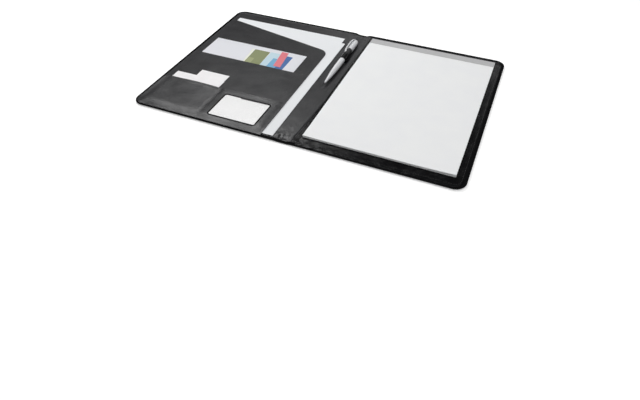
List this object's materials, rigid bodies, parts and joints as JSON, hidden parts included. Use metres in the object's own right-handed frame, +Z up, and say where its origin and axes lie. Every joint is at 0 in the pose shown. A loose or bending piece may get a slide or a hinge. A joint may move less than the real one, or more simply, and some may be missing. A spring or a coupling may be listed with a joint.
{
  "type": "document folio",
  "caption": "Padded leatherette document folio that lies open flat: writing pad, pen in a spine loop, and pockets with papers and cards.",
  "frame": {"origin": "under the middle of the spine, on the surface that the open folio rests on", "axes": "+X across the open folio towards the writing pad, +Y towards the top edge, +Z up out of the inside; the folio lies open and flat"},
  "size_m": [0.497, 0.333, 0.0159],
  "materials": {
    "leatherette": "glossy black polyurethane leatherette with fine creases",
    "lining": "satin charcoal leatherette lining",
    "greyboard": "plain grey bookbinding board",
    "foam": "thin open-cell foam sheet",
    "pad_paper": "uncoated white writing paper with faint mottling",
    "document_paper": "uncoated white office paper",
    "coated_paper": "coated leaflet paper with a plain print of colour blocks",
    "card_stock": "smooth white card",
    "card_plastic": "satin white plastic card",
    "clear_film": "thin clear film, modelled as see-through",
    "binding_tape": "grey binding tape",
    "pen_metal": "satin silver, turned",
    "pen_rubber": "soft black sleeve",
    "brass": "plain brass refill"
  },
  "bodies": {
    "back_cover": {"back_outer_skin": "leatherette", "back_foam": "foam", "back_board": "greyboard", "back_lining": "lining", "pad_pocket": "leatherette"},
    "spine": {"spine_outer_skin": "leatherette", "spine_stiffener": "greyboard", "spine_lining": "lining", "pen_loop": "leatherette"},
    "front_cover": {"front_main_skin": "leatherette", "front_edge_skin": "leatherette", "front_foam": "foam", "front_board": "greyboard", "front_lining": "lining", "document_pocket": "lining", "leaflet_pocket": "lining", "card_pocket": "lining", "window_film": "clear_film", "window_trim": "leatherette"},
    "pad": {"pad_backing_board": "greyboard", "pad_sheets": "pad_paper", "pad_binding_tape": "binding_tape"},
    "top_sheet": {"pad_top_sheet": "pad_paper"},
    "pen": {"pen_sleeve": "pen_rubber", "pen_cap": "pen_metal", "pen_clip": "pen_metal"},
    "pen_lower": {"pen_barrel": "pen_metal"},
    "refill": {"pen_refill": "brass"},
    "rear_document": {"rear_document": "document_paper"},
    "front_document": {"front_document": "document_paper"},
    "leaflet": {"leaflet": "coated_paper"},
    "landscape_card": {"landscape_card": "card_stock"},
    "portrait_card": {"portrait_card": "card_stock"},
    "id_card": {"id_card": "card_plastic"}
  },
  "joints": [
    {"name": "spine_fold", "type": "hinge", "parent": "back_cover", "child": "spine", "pos_m": [0.009, 0, 0.001], "axis": [0, 1, 0], "range_deg": [0, 90]},
    {"name": "cover_fold", "type": "hinge", "parent": "spine", "child": "front_cover", "pos_m": [-0.009, 0, 0.001], "axis": [0, 1, 0], "range_deg": [0, 90]},
    {"name": "pad_slide", "type": "slide", "parent": "back_cover", "child": "pad", "axis": [0, 1, 0], "range_m": [0, 0.245]},
    {"name": "top_sheet_flip", "type": "hinge", "parent": "pad", "child": "top_sheet", "pos_m": [0.128, 0.13425, 0.0078], "axis": [-1, 0, 0], "range_deg": [0, 175]},
    {"name": "pen_slide", "type": "slide", "parent": "spine", "child": "pen", "axis": [0, 1, 0], "range_m": [0, 0.12]},
    {"name": "pen_twist", "type": "hinge", "parent": "pen", "child": "pen_lower", "pos_m": [0.00045, 0.02, 0.00765], "axis": [0, 1, 0], "range_deg": [0, 180]},
    {"name": "refill_slide", "type": "slide", "parent": "pen", "child": "refill", "axis": [0, -1, 0], "range_m": [0, 0.0026]},
    {"name": "rear_document_slide", "type": "slide", "parent": "front_cover", "child": "rear_document", "axis": [0, 1, 0], "range_m": [0, 0.28]},
    {"name": "front_document_slide", "type": "slide", "parent": "front_cover", "child": "front_document", "axis": [0, 1, 0], "range_m": [0, 0.26]},
    {"name": "leaflet_slide", "type": "slide", "parent": "front_cover", "child": "leaflet", "axis": [0, 1, 0], "range_m": [0, 0.1]},
    {"name": "landscape_card_slide", "type": "slide", "parent": "front_cover", "child": "landscape_card", "axis": [0, 1, 0], "range_m": [0, 0.05]},
    {"name": "portrait_card_slide", "type": "slide", "parent": "front_cover", "child": "portrait_card", "axis": [0, 1, 0], "range_m": [0, 0.085]},
    {"name": "id_card_slide", "type": "slide", "parent": "front_cover", "child": "id_card", "axis": [0, 1, 0], "range_m": [0, 0.07]}
  ],
  "couplings": [
    {"joint": "cover_fold", "follows": "spine_fold", "ratio": 1},
    {"joint": "refill_slide", "follows": "pen_twist", "m_per_rad": 0.000796}
  ]
}
